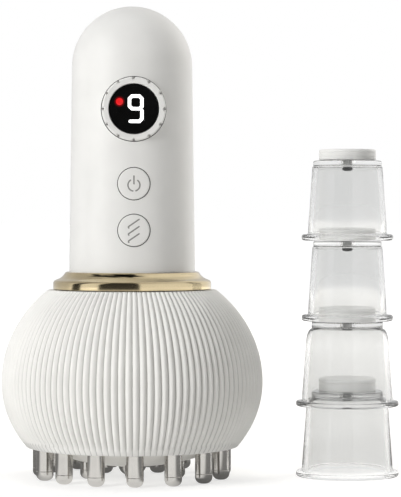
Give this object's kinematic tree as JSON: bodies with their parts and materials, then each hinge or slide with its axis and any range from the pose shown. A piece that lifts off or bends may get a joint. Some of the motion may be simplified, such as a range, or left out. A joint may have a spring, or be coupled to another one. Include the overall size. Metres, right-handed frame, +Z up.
{
  "type": "electric cupping massager",
  "caption": "Electric cupping massager: a ribbed bulb head on contact pins, a lift-out suction handle with display and buttons, and nesting clear cups with pull valves.",
  "frame": {"origin": "on the surface that the object stands on, under the middle of its whole box; the device's axis is 27.45 mm to -X of it and the cup stack's axis 59.05 mm to +X", "axes": "+Z up along the handle, -Y towards the display and buttons, +X towards the stack of cups"},
  "size_m": [0.1592, 0.1044, 0.188],
  "materials": {
    "housing": "satin white moulded plastic",
    "bulb": "satin warm white moulded plastic",
    "gold_trim": "polished gold plating",
    "pins": "polished steel",
    "motor_steel": "plain steel",
    "magnet": "plated dark metal",
    "heater": "copper",
    "dark_plastic": "matte black moulded plastic",
    "circuit_board": "green solder mask",
    "cell": "blue shrink sleeve",
    "hose": "pale silicone",
    "display_glass": "dark display window",
    "clear_plastic": "clear polished plastic",
    "cap": "satin white moulded plastic",
    "black_rubber": "matte black rubber"
  },
  "bodies": {
    "head": {"head_shell": "bulb", "pin_plate": "housing", "outer_pin_01": "pins", "outer_pin_02": "pins", "outer_pin_03": "pins", "outer_pin_04": "pins", "outer_pin_05": "pins", "outer_pin_06": "pins", "outer_pin_07": "pins", "outer_pin_08": "pins", "outer_pin_09": "pins", "outer_pin_10": "pins", "outer_pin_11": "pins", "outer_pin_12": "pins", "outer_pin_13": "pins", "outer_pin_14": "pins", "outer_pin_15": "pins", "inner_pin_1": "pins", "inner_pin_2": "pins", "inner_pin_3": "pins", "inner_pin_4": "pins", "inner_pin_5": "pins", "centre_post": "pins", "gold_ring": "gold_trim", "head_socket": "housing", "magnet_ring": "magnet", "heating_ring": "heater", "vibration_motor": "motor_steel", "cup_1_shell": "clear_plastic"},
    "vibration_weight": {"eccentric_weight": "magnet"},
    "handle": {"handle_sleeve": "housing", "handle_foot": "dark_plastic", "suction_nozzle": "motor_steel", "chassis": "dark_plastic", "main_board": "circuit_board", "battery": "cell", "pump_body": "dark_plastic", "pump_motor": "motor_steel", "air_hose": "hose", "release_valve": "magnet", "charging_socket": "motor_steel", "display_bezel": "housing", "display_lens": "display_glass", "display_module": "dark_plastic", "power_switch": "dark_plastic", "mode_switch": "dark_plastic"},
    "power_key": {"power_button": "housing"},
    "mode_key": {"mode_button": "housing"},
    "crank": {"pump_crank": "motor_steel"},
    "cup_1_valve": {"cup_1_cap": "cap", "cup_1_valve_bulb": "black_rubber"},
    "cup_2": {"cup_2_shell": "clear_plastic"},
    "cup_2_valve": {"cup_2_cap": "cap", "cup_2_valve_bulb": "black_rubber"},
    "cup_3": {"cup_3_shell": "clear_plastic"},
    "cup_3_valve": {"cup_3_cap": "cap", "cup_3_valve_bulb": "black_rubber"},
    "cup_4": {"cup_4_shell": "clear_plastic"},
    "cup_4_valve": {"cup_4_cap": "cap", "cup_4_valve_bulb": "black_rubber"}
  },
  "joints": [
    {"name": "handle_lift", "type": "slide", "parent": "head", "child": "handle", "axis": [0, 0, 1], "range_m": [0, 0.03]},
    {"name": "weight_spin", "type": "hinge", "parent": "head", "child": "vibration_weight", "pos_m": [-0.02745, 0, 0.0346], "axis": [0, 0, 1], "continuous": true},
    {"name": "power_press", "type": "slide", "parent": "handle", "child": "power_key", "axis": [0, 1, 0], "range_m": [0, 0.0007], "stiffness_N_per_m": 400, "springref_m": -0.0015},
    {"name": "mode_press", "type": "slide", "parent": "handle", "child": "mode_key", "axis": [0, 1, 0], "range_m": [0, 0.0007], "stiffness_N_per_m": 400, "springref_m": -0.0015},
    {"name": "crank_spin", "type": "hinge", "parent": "handle", "child": "crank", "pos_m": [-0.02745, 0, 0.103], "axis": [0, 0, 1], "continuous": true},
    {"name": "cup_1_valve_pull", "type": "slide", "parent": "head", "child": "cup_1_valve", "axis": [0, 0, 1], "range_m": [0, 0.0015]},
    {"name": "cup_2_lift", "type": "slide", "parent": "head", "child": "cup_2", "axis": [0, 0, 1], "range_m": [0, 0.0188]},
    {"name": "cup_2_valve_pull", "type": "slide", "parent": "cup_2", "child": "cup_2_valve", "axis": [0, 0, 1], "range_m": [0, 0.0015]},
    {"name": "cup_3_lift", "type": "slide", "parent": "cup_2", "child": "cup_3", "axis": [0, 0, 1], "range_m": [0, 0.0129]},
    {"name": "cup_3_valve_pull", "type": "slide", "parent": "cup_3", "child": "cup_3_valve", "axis": [0, 0, 1], "range_m": [0, 0.0015]},
    {"name": "cup_4_lift", "type": "slide", "parent": "cup_3", "child": "cup_4", "axis": [0, 0, 1], "range_m": [0, 0.0147]},
    {"name": "cup_4_valve_pull", "type": "slide", "parent": "cup_4", "child": "cup_4_valve", "axis": [0, 0, 1], "range_m": [0, 0.0015]}
  ]
}
